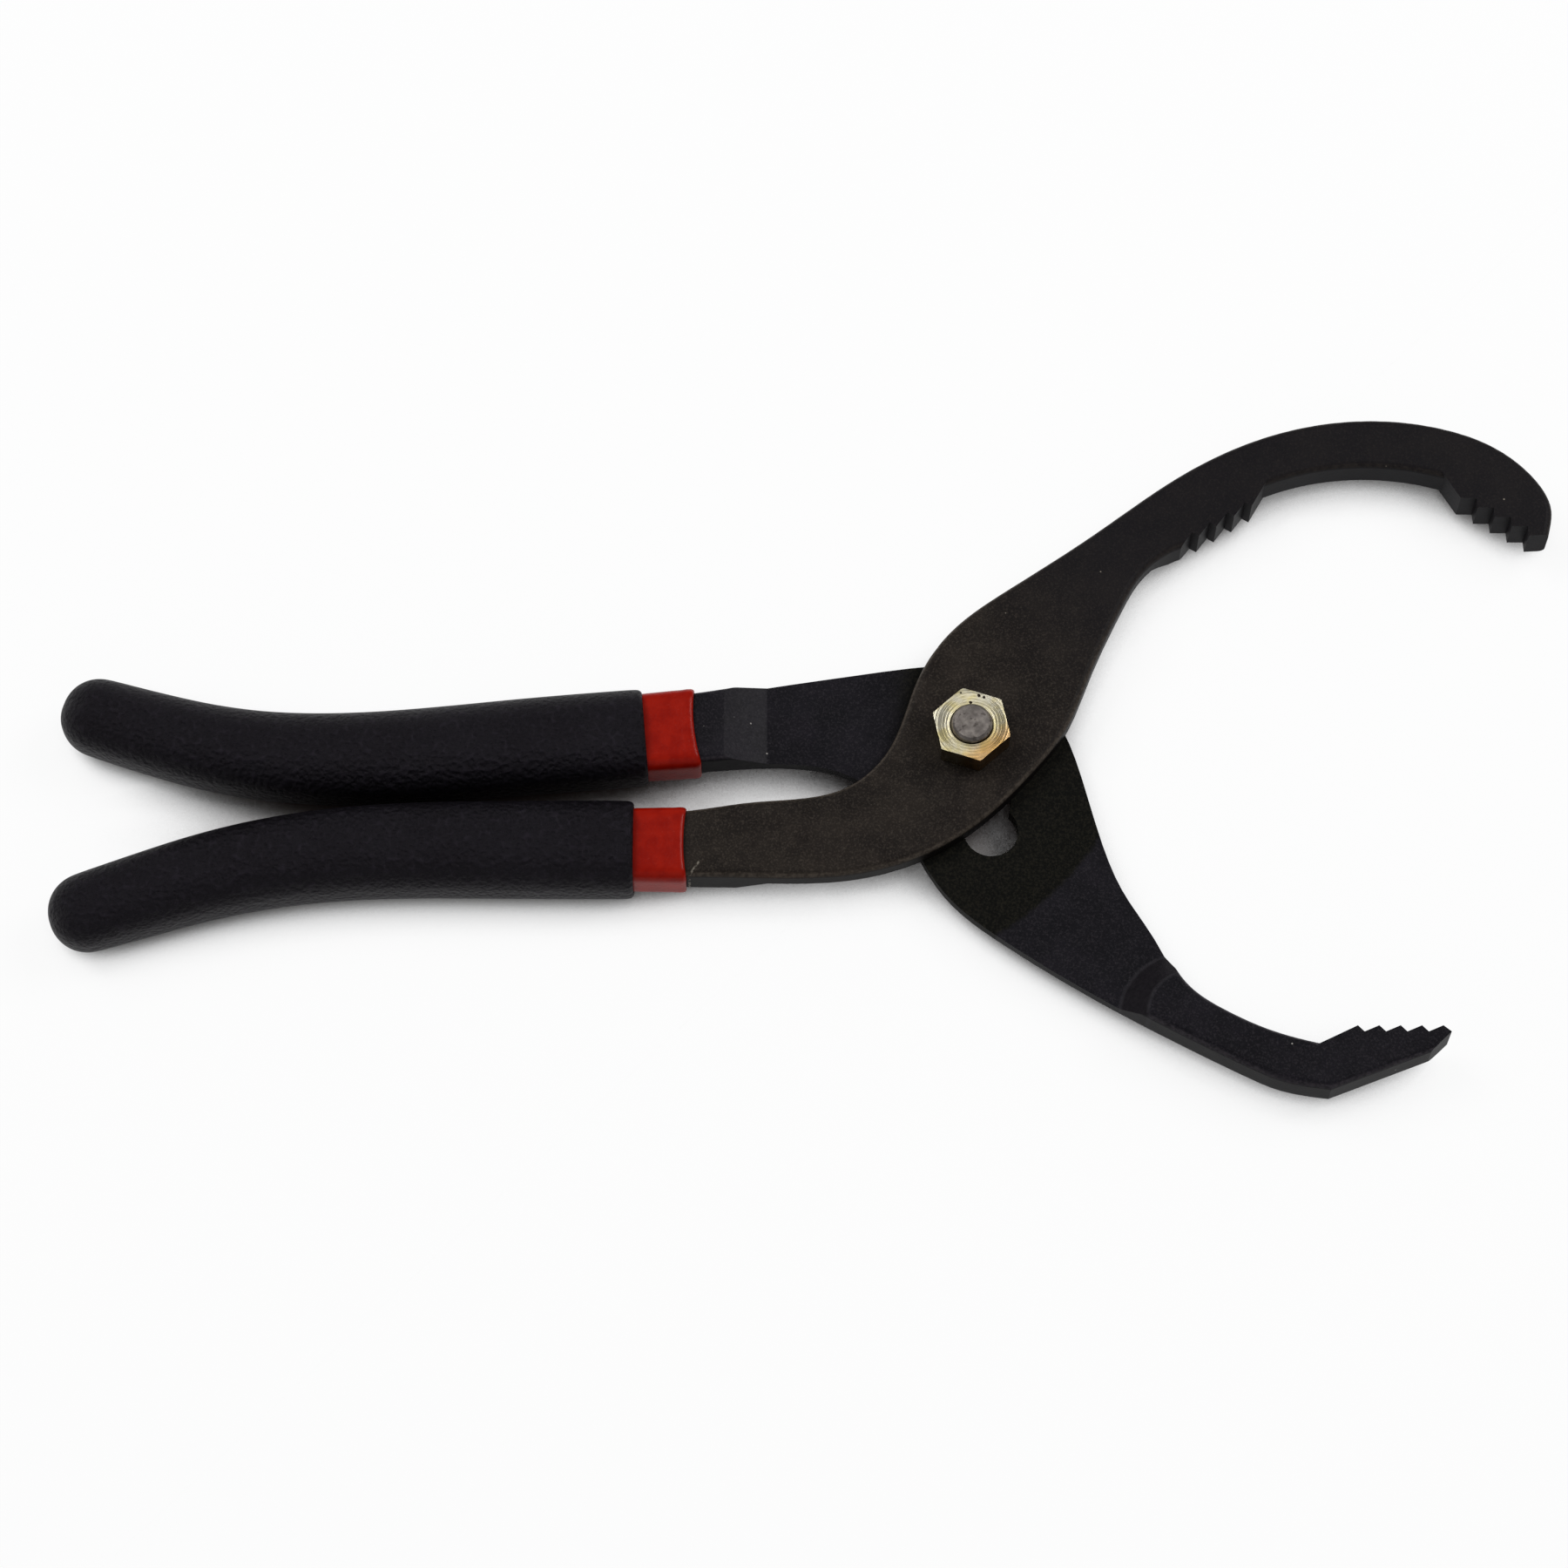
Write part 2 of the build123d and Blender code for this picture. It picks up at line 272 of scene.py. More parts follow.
def scratch(finish, start, end, width):
    """A scratch between two points of the plan, in millimetres: 1 on it and 0 elsewhere."""
    run = Vector(end) - Vector(start)
    across = along(finish, "X") * 1000 - start[0]
    up = along(finish, "Y") * 1000 - start[1]
    lengthways = (across * run.x + up * run.y) / run.length_squared
    sideways = abs((across * -run.y + up * run.x) / run.length)
    broken = finish.fade(finish.noise(0.9, 2), 0.4, 0.55)
    on_it = (lengthways > 0) * (1 - (lengthways > 1.0))
    return on_it * (1 - finish.fade(sideways, width * 0.4, width)) * broken


def front_marks(finish, colour, rough):
    """A cooler, darker tone towards the jaw, and a thin scratch beside the sleeve."""
    jaw = finish.fade((along(finish, "X") + along(finish, "Y")) * 1000, 12, 75)
    colour = finish.blend(jaw * 0.72, colour, shade(20, 19, 23))
    mark = scratch(finish, (-58.0, -32.0), (-55.2, -27.8), 0.28)
    return finish.blend(mark * 0.8, colour, shade(120, 114, 104)), rough


ARC_CENTRE = (-30.5, 14.5)       # centre and radius of the edge of the ground face
ARC_RADIUS = 66.8
RAMP_HIGHLIGHT_FROM = (-54.0, -43.0)       # the ramp on the handle has a painted highlight: places where it fades in and out
RAMP_HIGHLIGHT_TO = (-42.0, -41.4)         # and out
NOSE_CENTRE = (43, -60)          # the thick jaw starts at a round nose about this point
NOSE_FOOT = 14.0
NOSE_TOP = 8.5
NOSE_BLUR = 0.3


def rear_marks(finish, colour, rough):
    """The ground face round the joint, a painted highlight on a ramp, and painted shade with
    painted highlights on another.
    """
    ragged = finish.noise(1.1, 2) * 1.2
    from_centre = distance_from(finish, *ARC_CENTRE) + ragged
    inside = 1 - finish.fade(from_centre, ARC_RADIUS - 0.2, ARC_RADIUS + 1.0)
    x = along(finish, "X") * 1000
    ahead = finish.fade(x, -18, -10)
    ground = inside * ahead
    grit = finish.fade(finish.noise(0.5, 3, 0.75), 0.42, 0.66)
    olive = finish.blend(grit, shade(5, 5, 3), shade(26, 24, 18))
    colour = finish.blend(ground, colour, olive)
    # Painted highlight on the ramp of the handle.
    ramp_highlight = finish.fade(x, *RAMP_HIGHLIGHT_FROM) * (1 - finish.fade(x, *RAMP_HIGHLIGHT_TO))
    colour = finish.blend(ramp_highlight * finish.noise(1.6, 4, 0.7) * 0.4, colour, shade(66, 65, 67))
    # Painted shade on the slope in front of the jaw's nose.
    nose = distance_from(finish, *NOSE_CENTRE) + finish.noise(1.5, 2) * 0.5 - 0.25
    behind = 1 - finish.fade(x, NOSE_CENTRE[0] - 2, NOSE_CENTRE[0])
    slope_shade = finish.fade(nose, NOSE_TOP - NOSE_BLUR, NOSE_TOP + NOSE_BLUR)
    slope_shade = slope_shade * (1 - finish.fade(nose, NOSE_FOOT - NOSE_BLUR, NOSE_FOOT + NOSE_BLUR))
    colour = finish.blend(slope_shade * behind * 0.8, colour, shade(19, 17, 20))
    # Painted highlights along the slope's foot and top.
    for edge in (NOSE_FOOT, NOSE_TOP):
        line = (1 - finish.fade(abs(nose - edge), 0.15, 0.6)) * behind * finish.noise(1.2, 2)
        colour = finish.blend(line * 0.4, colour, shade(64, 62, 66))
    return colour, rough + ground * 0.1 + ramp_highlight * 0.08


front_steel = forged(
    "front_steel", dark=shade(24, 20, 18), light=shade(37, 32, 28), rubbed_and_highlight=shade(82, 74, 66),
    speck_tone=shade(150, 142, 128), extra=front_marks)
rear_steel = forged(
    "rear_steel", dark=shade(15, 14, 18), light=shade(23, 21, 26), rubbed_and_highlight=shade(62, 58, 62),
    speck_tone=shade(170, 166, 160), extra=rear_marks)
for name, steel in (("front_lever", front_steel), ("rear_lever", rear_steel)):
    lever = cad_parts[name]
    lever.data.materials.clear()
    lever.data.materials.append(steel)
    print(name, "has", len(lever.data.polygons), "triangles and the finish", steel.name)


# %% [markdown]
# ## Building helper
#
# Each new piece is grown as a tube of rings: a ring of points is extruded, moved and shaped, again
# and again, and the ends are closed. This suits turned, hexagonal and handle-like shapes alike,
# and it leaves a clean grid of quads that subdivision can round off. A ring is shaped by pushing
# each of its points along its own direction to a radius that a small function gives.

# %% Rings
class Tube:
    """Grows a piece ring by ring. Every ring has the same number of points."""

    def __init__(self, name, points):
        self.name = name
        self.mesh = bmesh.new()
        made = bmesh.ops.create_circle(self.mesh, segments=points, radius=1.0)
        self.ring = made["verts"]
        self.angles = [2 * pi * index / points for index in range(points)]
        self.first = self.ring

    def shape(self, reach, height):
        """Moves the newest ring: reach(angle) is its radius and height(angle) its z."""
        for point, angle in zip(self.ring, self.angles):
            radius = reach(angle)
            point.co = Vector((radius * cos(angle), radius * sin(angle), height(angle)))

    def grow(self):
        """Extrudes the newest ring."""
        before = {point: index for index, point in enumerate(self.ring)}
        edges = []
        for index, point in enumerate(self.ring):
            following = self.ring[(index + 1) % len(self.ring)]
            edges.append(next(e for e in point.link_edges if e.other_vert(point) == following))
        made = bmesh.ops.extrude_edge_only(self.mesh, edges=edges)
        fresh = [item for item in made["geom"] if isinstance(item, bmesh.types.BMVert)]
        order = [None] * len(self.ring)
        for point in fresh:
            others = [edge.other_vert(point) for edge in point.link_edges]
            partner = next(other for other in others if other in before)
            order[before[partner]] = point
        self.ring = order

    def turn(self, profile):
        """Grows a ring for each pair of radius and height functions."""
        for step, (reach, height) in enumerate(profile):
            if step:
                self.grow()
            self.shape(reach, height)

    def close(self, ring):
        """Closes a ring with a fan of triangles round its middle."""
        middle = sum((point.co for point in ring), Vector()) / len(ring)
        middle = bmesh.ops.create_vert(self.mesh, co=middle)["vert"][0]
        for index, here in enumerate(ring):
            self.mesh.faces.new((here, ring[(index + 1) % len(ring)], middle))

    def finish(self, material, sharp=radians(35)):
        """Turns the faces outwards and makes the object."""
        bmesh.ops.recalc_face_normals(self.mesh, faces=self.mesh.faces)
        for face in self.mesh.faces:
            face.smooth = True
        for edge in self.mesh.edges:
            edge.smooth = len(edge.link_faces) == 2 and edge.calc_face_angle() < sharp
        data = bpy.data.meshes.new(self.name)
        self.mesh.to_mesh(data)
        self.mesh.free()
        piece = bpy.data.objects.new(self.name, data)
        bpy.context.scene.collection.objects.link(piece)
        data.materials.append(material)
        low = [round(min(v.co[i] for v in data.vertices) * 1000, 2) for i in range(3)]
        high = [round(max(v.co[i] for v in data.vertices) * 1000, 2) for i in range(3)]
        print(self.name, len(data.polygons), "faces, from", low, "to", high)
        return piece


def spaced(start, end, steps):
    """Evenly spaced values, with both ends."""
    return [start + (end - start) * step / steps for step in range(steps + 1)]


def hexagon(flats, turn):
    """Radius of a hexagon in each direction."""
    step = pi / 3
    return lambda angle: flats / 2 / cos((angle - turn) % step - step / 2)


# %% [markdown]
# ## Turned and plated metal
#
# The nut is zinc plated and yellow passivated: pale gold, with the marks of the lathe as fine
# rings on its face, darker patches where the coating ran thick, and darker orange towards one
# corner. The bolt end is plain steel, grey and duller. Both finishes use the distance from the
# axis for the turned rings, so the rings stay round about the bolt whatever the view.

# %% Nut and bolt finishes
def turned(finish, ring_size):
    """Lathe rings about the bolt's axis, from 0 to 1, a little uneven."""
    radius = distance_from(finish, 0, 0) + finish.noise(4, 2) * 0.25
    phase = radius * (2 * pi / ring_size)
    return phase.math("SINE", phase) * 0.5 + 0.5


# The x, y and radius of each chip in the nut's plating, in millimetres.
NUT_CHIPS = [(-0.15, 4.75, 0.42), (1.6, 6.3, 0.4), (2.6, 5.9, 0.34), (-2.1, 6.9, 0.2)]


def nut_finish():
    """Yellow zinc, with a few chips on the top face where a tool has slipped."""
    finish = Finish("nut_zinc", Metallic=1.0, Anisotropic=0.7)
    rings = turned(finish, 0.62)
    fine = turned(finish, 0.23)
    patches = finish.noise(3.2, 3, 0.6)
    thick = finish.fade(patches, 0.35, 0.68)
    gold = finish.blend(thick, shade(212, 206, 186), shade(196, 184, 136))
    # Darker orange towards the nut's front right corner.
    to_corner = (along(finish, "X") - along(finish, "Y") * 1.3) * 1000
    gold = finish.blend(finish.fade(to_corner, 4.5, 10.5) * 0.7, gold, shade(196, 142, 58))
    marks = rings * finish.fade(finish.noise(2, 2), 0.3, 0.7)
    gold = finish.blend(marks * 0.5, gold, shade(126, 114, 80))
    chips = 0.0
    for x, y, size in NUT_CHIPS:
        away = distance_from(finish, x, y) + finish.noise(0.7, 3) * 0.6 - 0.3
        chips = (1 - finish.fade(away, size * 0.7, size)) + chips
    chips = chips * finish.fade(along(finish, "Z"), nut_high.z - 0.4 * MM, nut_high.z - 0.2 * MM)
    gold = finish.blend(chips, gold, shade(44, 36, 30))
    relief = finish.bump(rings * 0.6 + fine * 0.3 + finish.noise(3, 2) * 0.1, 0.022)
    finish.use(Base_Color=gold, Roughness=0.27 + patches * 0.14 + chips * 0.4, Normal=relief)
    return finish.material


def bolt_finish():
    """Grey turned steel with darker spots."""
    finish = Finish("bolt_steel", Metallic=1.0)
    rings = turned(finish, 0.9)
    patches = finish.noise(1.8, 4, 0.65)
    tone = finish.blend(finish.fade(patches, 0.3, 0.7), shade(104, 98, 94), shade(142, 135, 129))
    spots = finish.fade(finish.noise(1.1, 2), 0.58, 0.68)
    tone = finish.blend(spots * 0.6, tone, shade(64, 58, 55))
    relief = finish.bump(rings * 0.3 + patches * 0.7, 0.04)
    finish.use(Base_Color=tone, Roughness=0.36 + patches * 0.14, Normal=relief)
    return finish.material


nut_zinc = nut_finish()
bolt_steel = bolt_finish()
print("finishes", nut_zinc.name, bolt_steel.name)

# %% [markdown]
# ## The nut
#
# A hexagon nut is a hexagon bar turned to a cone at both ends, and the cone meets the flats in
# six arcs. Cutting a prism with a cone would give them, but they can be placed directly: each
# point of one ring lies where the cone has the hexagon's own radius in that direction. Ten rings
# are then enough for the whole nut, bore and bevels included.

# %% Nut
POINTS = 96                      # round the bolt and the nut
HEX_FLATS = 14.3 * MM
NUT_TURN = radians(-18)
BEVEL_FALL = 0.16                # fall of the corner bevel for each millimetre outwards
FACE_RADIUS = HEX_FLATS / 2 * 0.975
FACE_RIM = 0.25 * MM             # flat ring inside the bevel's edge
BORE = 4.3 * MM
LEAD_IN = 0.5 * MM               # chamfer of the bore below
WORN_EDGE = 0.3 * MM             # and the rounded one above
WORN_FALL = 0.4 * MM


def round_to(radius):
    """The same radius in every direction."""
    return lambda angle: radius


def level(height):
    """The same height in every direction."""
    return lambda angle: height


nut_hex = hexagon(HEX_FLATS, NUT_TURN)
nut = Tube("hexagon_nut", POINTS)
profile = [
    (round_to(BORE), level(nut_low.z + LEAD_IN)),
    (round_to(BORE + LEAD_IN), level(nut_low.z)),
    (round_to(FACE_RADIUS), level(nut_low.z)),
    (nut_hex, lambda a: nut_low.z + (nut_hex(a) - FACE_RADIUS) * BEVEL_FALL),
    (nut_hex, lambda a: nut_high.z - (nut_hex(a) - FACE_RADIUS) * BEVEL_FALL),
    (round_to(FACE_RADIUS), level(nut_high.z)),
    (round_to(FACE_RADIUS - FACE_RIM), level(nut_high.z)),
    (round_to(BORE + WORN_EDGE), level(nut_high.z)),
    (round_to(BORE + WORN_EDGE * 0.4), level(nut_high.z - WORN_FALL * 0.15)),
    (round_to(BORE), level(nut_high.z - WORN_FALL)),
]
nut.turn(profile)
bmesh.ops.bridge_loops(nut.mesh, edges=[e for e in nut.mesh.edges if e.is_boundary])
nut_piece = nut.finish(nut_zinc)
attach(nut_piece, "pivot")
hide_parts("pivot_nut")


# %% [markdown]
# ## The bolt
#
# From below upwards the bolt is a hexagon head, a shank with two flats that fills one lobe of the
# slot, and a threaded end that stands a little out of the nut. Only the last turns of the thread
# can be seen, so only they are cut: each point's radius follows a wave that climbs one pitch for
# each turn. A chamfer holds the radius down near the end.

# %% Bolt
HEAD_TURN = radians(12)
HEAD_HEIGHT = 4.2 * MM
SHANK_TOP = 7.85 * MM
SHANK_RADIUS = 5.5 * MM
FLAT_HALF = 4.41 * MM
SLOT_WAY = radians(-78.3)
JOURNAL_RADIUS = 4.74 * MM       # where the bolt turns in the front lever
THREAD_RADIUS = 4.26 * MM
THREAD_PITCH = 1.588 * MM
THREAD_DEPTH = 0.3 * MM
END_CHAMFER = 0.7 * MM
END_RADIUS = 2 * MM              # last ring of the end face
HEAD_EDGE = 0.03 * MM            # the head's rounded lower edge
HEAD_RIM = 0.5 * MM
NECK = 0.3 * MM                  # short steps where one width turns into the next
FILLET = 0.02 * MM
THREAD_START = 1.9 * MM          # below the nut's top
THREAD_RINGS = 30

head_hex = hexagon(HEX_FLATS, HEAD_TURN)


def shank(angle):
    """Round shank with two flats along the slot."""
    return min(SHANK_RADIUS, FLAT_HALF / max(abs(sin(angle - SLOT_WAY)), 0.01))


def thread(height):
    """Radius in each direction at one height of the threaded end."""
    end = THREAD_RADIUS - END_CHAMFER + (bolt_high.z - height)

    def reach(angle):
        turn = (height / THREAD_PITCH - angle / (2 * pi)) % 1
        return min(THREAD_RADIUS - THREAD_DEPTH * abs(2 * turn - 1), end)

    return reach


bolt = Tube("pivot_bolt_body", POINTS)
profile = [
    (round_to(FACE_RADIUS - HEAD_RIM), level(0)),
    (round_to(FACE_RADIUS), level(HEAD_EDGE)),
    (head_hex, lambda a: HEAD_EDGE + (head_hex(a) - FACE_RADIUS) * BEVEL_FALL),
    (head_hex, level(HEAD_HEIGHT)),
    (lambda a: shank(a) + NECK, level(HEAD_HEIGHT)),
    (shank, level(HEAD_HEIGHT + FILLET)),
    (shank, level(SHANK_TOP)),
    (lambda a: min(JOURNAL_RADIUS, shank(a)), level(SHANK_TOP)),
    (round_to(JOURNAL_RADIUS), level(SHANK_TOP + 0.4 * MM)),
    (round_to(JOURNAL_RADIUS), level(nut_low.z - NECK)),
    (round_to(THREAD_RADIUS), level(nut_low.z)),
    (round_to(THREAD_RADIUS), level(nut_high.z - 2 * MM)),
]
for height in spaced(nut_high.z - THREAD_START, bolt_high.z, THREAD_RINGS):
    profile.append((thread(height), level(height)))
profile.append((round_to(END_RADIUS), level(bolt_high.z)))
bolt.turn(profile)
bolt.close(bolt.first)
bolt.close(bolt.ring)
bolt_piece = bolt.finish(bolt_steel)
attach(bolt_piece, "pivot")
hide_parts("pivot_bolt")

# %% [markdown]
# ## Handle lines
#
# Both covers of a handle follow the same slender curve: straight beside the joint, then bent
# gently outwards. A smooth curve through fourteen points gives it, read off at any distance
# between them. At each place the section stands square to the curve.

# %% Handle lines
FRONT_LINE = [
    (-54, -23.7), (-64, -23.7), (-74.35, -23.7), (-84.7, -23.7), (-95.04, -23.7),
    (-105.39, -23.72), (-115.74, -23.92), (-126.07, -24.51), (-136.35, -25.68), (-146.53, -27.51),
    (-156.55, -30.08), (-166.4, -33.25), (-176.2, -36.58), (-186, -39.9)]
REAR_LINE = [
    (-52.04, 2.4), (-62, 1.5), (-72.44, 0.61), (-82.88, -0.26), (-93.31, -1.21),
    (-103.74, -2.23), (-114.18, -3.11), (-124.64, -3.64), (-135.12, -3.61), (-145.56, -2.82),
    (-155.88, -1.03), (-166, 1.64), (-176.02, 4.72), (-186, 7.9)]


class HandleLine:
    """Smooth line through points of the plan, at the handles' height. x picks the place on it."""

    def __init__(self, points):
        self.points = [Vector((x * MM, y * MM, handle_height)) for x, y in points]

    def point(self, x):
        """Point of the line at x metres, by a cubic between its two neighbours."""
        last = len(self.points) - 2
        index = next((i for i in range(1, last) if self.points[i + 1].x <= x), last)
        before, here, there = self.points[index - 1:index + 2]
        after = self.points[index + 2] if index < last else there * 2 - here
        share = (x - here.x) / (there.x - here.x)
        bend = (here - there) * 3 + after - before
        turn = before * 2 - here * 5 + there * 4 - after
        return here + ((there - before) + (turn + bend * share) * share) * (share / 2)

    def at(self, x):
        """Point of the line and its direction towards the handle's end, at x metres."""
        here = self.point(x)
        return here, (self.point(x - MM) - here).normalized()


def rounded_box(width, thickness, corner, angle):
    """Point of a rounded rectangle in one direction from its middle."""
    across, up = cos(angle), sin(angle)
    half_width, half_thickness = width / 2, thickness / 2
    far = min(half_width / max(abs(across), 1e-6), half_thickness / max(abs(up), 1e-6))
    x, y = abs(across) * far, abs(up) * far
    if x > half_width - corner and y > half_thickness - corner:
        cx, cy = half_width - corner, half_thickness - corner
        forward = abs(across) * cx + abs(up) * cy
        far = forward + sqrt(max(forward ** 2 - cx ** 2 - cy ** 2 + corner ** 2, 0))
    return across * far, up * far


front_handle = HandleLine(FRONT_LINE)
rear_handle = HandleLine(REAR_LINE)
for line in (front_handle, rear_handle):
    print("a handle ends at", [round(value * 1000, 1) for value in line.point(line.points[-1].x)])


def cover_ring(tube, line, x, width, thickness, corner, horns=0.0):
    """Moves the newest ring square to a handle at x millimetres. horns is how far the ring's two
    narrow sides run ahead of its middle, towards the jaws."""
    place, way = line.at(x * MM)
    across = Vector((-way.y, way.x, 0))
    for point, angle in zip(tube.ring, tube.angles):
        side, up = rounded_box(width, thickness, corner, angle)
        ahead = horns * (2 * side / width) ** 2
        point.co = place + (across * side + Vector((0, 0, up)) - way * ahead) * MM


# %% [markdown]
# ## Dipped and moulded covers
#
# The inner cover is red vinyl, made by dipping the handle: smooth, with a thin shine and the faint
# unevenness of a liquid that has set. The grip over it is a softer black compound with a fine
# sandy, leathery texture, which scatters the light into a dull sheen. The texture is too fine to
# model, so it is a bump made of small cells and a finer noise, with painted shade in its hollows
# that leaves the crests lighter.

# %% Cover finishes
def red_finish():
    """Red dip with a little pale dust."""
    finish = Finish("red_dip", Specular_IOR_Level=0.09, Coat_Roughness=0.1)
    flow = finish.noise(2.4, 3, 0.55)
    colour = finish.blend(finish.fade(flow, 0.3, 0.7), shade(132, 13, 2), shade(147, 20, 4))
    dust = finish.fade(finish.noise(0.5, 2), 0.66, 0.76) * 0.15
    colour = finish.blend(dust, colour, shade(180, 76, 62))
    relief = finish.bump(flow * 0.6 + finish.noise(0.6, 2) * 0.4, 0.07)
    finish.use(Base_Color=colour, Roughness=0.26 + flow * 0.06, Coat_Weight=0.06, Normal=relief)
    return finish.material


def grip_finish():
    """Black compound. The cells are bent by a noise, so that they read as wrinkles."""
    finish = Finish("black_grip", Specular_IOR_Level=0.15,
                    Specular_Tint=(0.95, 0.86, 1.0, 1.0))
    shift = finish.node("ShaderNodeVectorMath", {"operation": "SCALE"},
                        {0: finish.noise(1.6, 3, output="Color"), "Scale": 0.9 * MM})
    bent = finish.node("ShaderNodeVectorMath", {"operation": "ADD"}, {0: finish.place, 1: shift})
    wrinkles = finish.cells(0.95, "SMOOTH_F1", bent)
    sand = finish.noise(0.32, 3, 0.7)
    clouds = finish.noise(14, 3)
    height = wrinkles * 0.65 + sand * 0.35
    colour = finish.blend(finish.fade(clouds, 0.3, 0.7), shade(4, 3, 5), shade(8, 7, 10))
    # Painted shade in the hollows of the wrinkles, so that the crests are lighter.
    colour = finish.blend(finish.fade(height, 0.45, 0.75) * 0.5, colour, shade(34, 30, 37))
    relief = finish.bump(height, 0.7)
    finish.use(Base_Color=colour, Roughness=0.4 + sand * 0.12, Normal=relief)
    return finish.material


red_dip = red_finish()
black_grip = grip_finish()
print("finishes", red_dip.name, black_grip.name)

# %% [markdown]
# ## Red inner sleeves
#
# Each sleeve is a thin closed shell round the handle bar. It is grown from its hidden far end: up
# the inner wall, over a small round rim, and back down the outer wall. The rim's line bows a
# little, with its two horns towards the jaws, as dip does when it drains off a flat bar.

# %% Sleeves
SLEEVE_WALL = 1.1
SLEEVE_CORNER = 2.6
BAR_THICKNESS = 7.8
SLEEVE_THICKNESS = BAR_THICKNESS + 2 * SLEEVE_WALL
BAR_CORNER = 1.3
BAR_END_WIDTH = 8.0
SLEEVE_POINTS = 80
SLEEVE_TAPER = 6                 # behind the open end, where the bar starts to narrow
SLEEVE_LIP = 4                   # length of the rim's part of the sleeve
SLEEVE_END_WALL = 1.5
SLIDE = 0.02                     # room between the bar and the sleeve
HORN_FADE = 3
RIM = [(0.0, 0.05), (-0.22, 0.3), (-0.28, 0.62), (-0.1, 0.95), (0.3, 1.12), (1.0, 1.16), (2.2, 1.1)]


def sleeve(name, line, body, node, open_end, far_end, bar_width, horns):
    """open_end and far_end are places on the handle, in millimetres along x."""
    tube = Tube(name, SLEEVE_POINTS)
    taper_from = open_end - SLEEVE_TAPER

    def bar(x):
        share = max(0.0, (taper_from - x) / (taper_from - far_end))
        return bar_width + (BAR_END_WIDTH - bar_width) * share

    inner = spaced(far_end + SLEEVE_END_WALL, open_end - SLEEVE_LIP, 9)
    outer = spaced(open_end - SLEEVE_LIP, far_end, 10)
    for step, x in enumerate(inner):
        if step:
            tube.grow()
        cover_ring(tube, line, x, bar(x) + SLIDE, BAR_THICKNESS + SLIDE, BAR_CORNER)
    for back, wall in RIM:
        tube.grow()
        x = open_end - back
        corner = BAR_CORNER + (SLEEVE_CORNER - BAR_CORNER) * min(wall / SLEEVE_WALL, 1.0)
        bow = horns * max(0.0, 1 - back / HORN_FADE)
        cover_ring(tube, line, x, bar_width + 2 * wall, BAR_THICKNESS + 2 * wall, corner, bow)
    for x in outer:
        tube.grow()
        cover_ring(tube, line, x, bar(x) + 2 * SLEEVE_WALL, SLEEVE_THICKNESS, SLEEVE_CORNER)
    tube.close(tube.first)
    tube.close(tube.ring)
    piece = tube.finish(red_dip, sharp=radians(75))
    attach(piece, body)
    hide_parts(node)


sleeve("front_red_sleeve", front_handle, "front_side", "front_inner_sleeve",
       open_end=-58.4, far_end=-180, bar_width=14.0, horns=0.55)
sleeve("rear_red_sleeve", rear_handle, "rear_side", "rear_inner_sleeve",
       open_end=-56.4, far_end=-180, bar_width=15.2, horns=0.75)

# %% [markdown]
# ## Black grips
#
# A grip is a thick moulded tube with a rounded closed end. Its section is a soft rectangle that
# swells in the middle and thins towards the tail. The open end is cut back by a bevel, and the
# closed end is a dome: each ring shrinks as a quarter circle does. A subdivision surface rounds
# what is left of the facets.

# %% Grips
GRIP_POINTS = 40
GRIP_RINGS = 26
BORE_RINGS = 8
GRIP_ROOT = (19.8, 14.8)         # width and thickness at the open end, the middle and the tail
GRIP_WAIST = (18.6, 16.25)
GRIP_TAIL = (15.8, 14.2)
GRIP_END = -185.9
GRIP_END_WALL = 10
CORNER_SHARE = 0.42
BORE_ROOM = 2.2                  # the far end of the bore is this much wider than the bar
LIP_LENGTH = 1.2
DOME_ANGLES = (14, 28, 41, 53, 64, 74, 83)
DOME_FULLNESS = 0.94             # below 1, so that the dome is a little blunter than round
LIP = [(0.35, -1.35), (0.05, -1.0), (0.12, -0.62), (0.55, -0.22), (1.2, -0.02)]


def swell(share):
    """Width and thickness of a grip, by a parabola through its three sizes."""
    weights = ((1 - share) * (1 - 2 * share), 4 * share * (1 - share), share * (2 * share - 1))
    sizes = (GRIP_ROOT, GRIP_WAIST, GRIP_TAIL)
    return [sum(weight * size[side] for weight, size in zip(weights, sizes)) for side in (0, 1)]


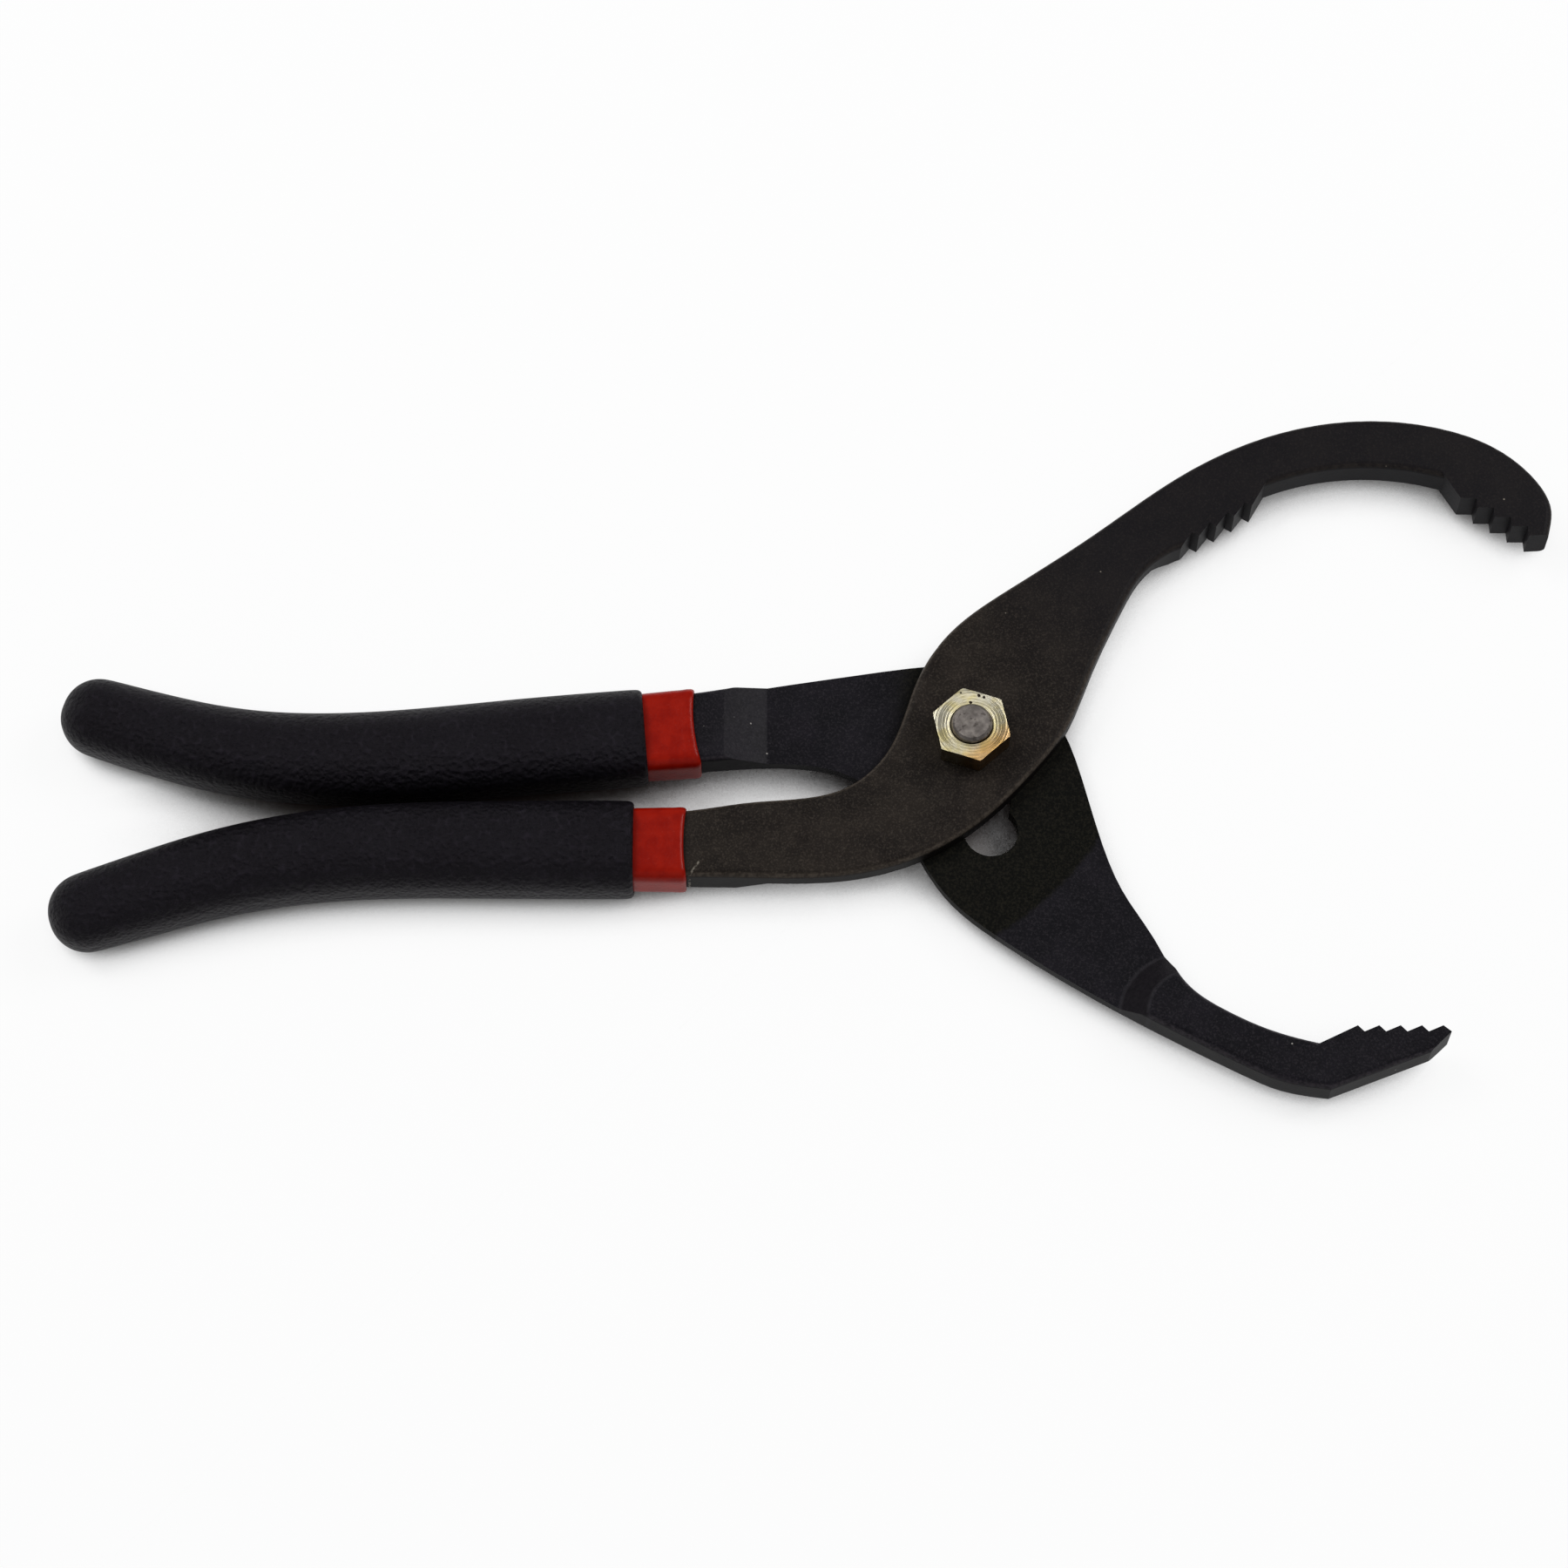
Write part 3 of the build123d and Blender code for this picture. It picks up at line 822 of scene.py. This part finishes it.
def grip(name, line, body, node, mouth, bore_width):
    """mouth is the open end's place on the handle, in millimetres along x."""
    tube = Tube(name, GRIP_POINTS)
    dome = GRIP_TAIL[0] / 2
    slant = line.at(GRIP_END * MM)[1].y      # its sine, which is near enough to the angle
    tail = GRIP_END + dome * cos(slant)
    bore = spaced(GRIP_END + GRIP_END_WALL, mouth - 1, BORE_RINGS)
    widths = spaced(BAR_END_WIDTH + BORE_ROOM, bore_width, BORE_RINGS)
    for step, (x, width) in enumerate(zip(bore, widths)):
        if step:
            tube.grow()
        cover_ring(tube, line, x, width, SLEEVE_THICKNESS, SLEEVE_CORNER)
    for back, inset in LIP:
        tube.grow()
        width, thickness = (size + 2 * inset for size in GRIP_ROOT)
        cover_ring(tube, line, mouth - back, width, thickness, CORNER_SHARE * thickness)
    for share in spaced(0, 1, GRIP_RINGS)[1:]:
        tube.grow()
        width, thickness = swell(share)
        x = mouth - LIP_LENGTH + (tail - mouth + LIP_LENGTH) * share
        cover_ring(tube, line, x, width, thickness, CORNER_SHARE * thickness)
    for angle in DOME_ANGLES:
        tube.grow()
        shrink = cos(radians(angle)) ** DOME_FULLNESS
        width, thickness = (size * shrink for size in GRIP_TAIL)
        x = tail + (GRIP_END - tail) * sin(radians(angle))
        cover_ring(tube, line, x, width, thickness, CORNER_SHARE * thickness)
    tube.close(tube.first)
    tube.close(tube.ring)
    piece = tube.finish(black_grip, sharp=pi)
    soft = piece.modifiers.new("rounded", "SUBSURF")
    soft.levels = 2
    soft.render_levels = 2
    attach(piece, body)
    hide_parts(node)


grip("front_black_grip", front_handle, "front_side", "front_grip", mouth=-68.4, bore_width=16.3)
grip("rear_black_grip", rear_handle, "rear_side", "rear_grip", mouth=-66.4, bore_width=17.5)

# %% [markdown]
# ## Floor and light
#
# The pliers lie on a pale floor. Two large soft lights stand to the left and the right, a little
# behind, so that the turned faces of the nut show bright fans and the levers' tops stay dark. A
# weak one stands in front, and the world adds an even fill. The floor looks almost white to the
# camera and in reflections. Where the sky is hidden, close to the handles and under the slot, it
# keeps a soft shadow, its glow fades and a painted shadow darkens its colour.

# %% Floor
FLOOR_DROP = 0.2 * MM
SHADOW_REACH = 20 * MM

floor_mesh = bmesh.new()
bmesh.ops.create_grid(floor_mesh, x_segments=1, y_segments=1, size=4.0)
floor_data = bpy.data.meshes.new("floor")
floor_mesh.to_mesh(floor_data)
floor_mesh.free()
floor = bpy.data.objects.new("floor", floor_data)
floor.location.z = -FLOOR_DROP
bpy.context.scene.collection.objects.link(floor)
floor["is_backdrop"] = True


def floor_finish():
    """Pale floor that glows to the camera and in reflections, with painted shadow where the sky is
    hidden.
    """
    finish = Finish("pale_floor", Roughness=0.9, Specular_IOR_Level=0.0)
    paths = ("Is Camera Ray", "Is Glossy Ray", "Is Transmission Ray")
    seen, *others = [finish.node("ShaderNodeLightPath", output=path) for path in paths]
    for other in others:
        seen = seen.math("MAXIMUM", seen, other)
    glow = finish.node("ShaderNodeEmission", inputs={"Color": (1, 1, 1, 1), "Strength": 1.0})
    open_sky = finish.node("ShaderNodeAmbientOcclusion", {"samples": 8},
                           {"Distance": SHADOW_REACH}, output="AO")
    # Painted shadow: the glow fades where the sky is hidden.
    glow_outside_painted_shadow = finish.fade(open_sky, 0.3, 0.7) * 0.9
    plain = Value(finish, finish.shader.outputs[0])
    mixed = finish.node("ShaderNodeMixShader", inputs={0: seen * glow_outside_painted_shadow, 1: plain, 2: glow})
    # Painted shadow: the colour darkens where the sky is hidden.
    colour_outside_painted_shadow = finish.fade(open_sky, 0.2, 0.55)
    finish.use(Base_Color=finish.blend(colour_outside_painted_shadow, shade(96, 85, 81), shade(238, 238, 238)))
    surface = next(n for n in finish.tree.nodes if n.type == "OUTPUT_MATERIAL").inputs["Surface"]
    finish.feed(surface, mixed)
    return finish.material


floor_data.materials.append(floor_finish())


# %% Lights
def softbox(name, place, size, power):
    """A square soft light that faces the joint."""
    light = bpy.data.lights.new(name, "AREA")
    light.size = size
    light.energy = power
    lamp = bpy.data.objects.new(name, light)
    lamp.location = place
    lamp.rotation_euler = (-Vector(place)).to_track_quat("-Z", "Y").to_euler()
    bpy.context.scene.collection.objects.link(lamp)
    print(name, "at", place, "gives", power, "W")


softbox("left_light", (-0.75, 0.45, 1.1), 0.7, 8.5)
softbox("right_light", (0.8, 0.4, 1.0), 0.7, 8.5)
softbox("front_light", (0.1, -1.0, 0.9), 0.9, 0.5)

world = bpy.data.worlds.new("studio")
world.use_nodes = True
sky = world.node_tree.nodes["Background"].inputs
sky["Color"].default_value = (0.95, 0.97, 1.0, 1.0)
sky["Strength"].default_value = 0.3
bpy.context.scene.world = world
bpy.context.scene.view_settings.view_transform = "Standard"

# %% [markdown]
# ## Check the size and finish
#
# The new pieces are meant to stay inside the CAD model's box, so the last lines print how far each
# corner of the finished box lies beyond it.

# %% Finish
visual_box = [[float(value) for value in corner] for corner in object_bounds()]
for end, visual, cad in zip(("low", "high"), visual_box, cad_box):
    print(end, "corner grows by", [round((v - c) * 1000, 2) for v, c in zip(visual, cad)], "mm")
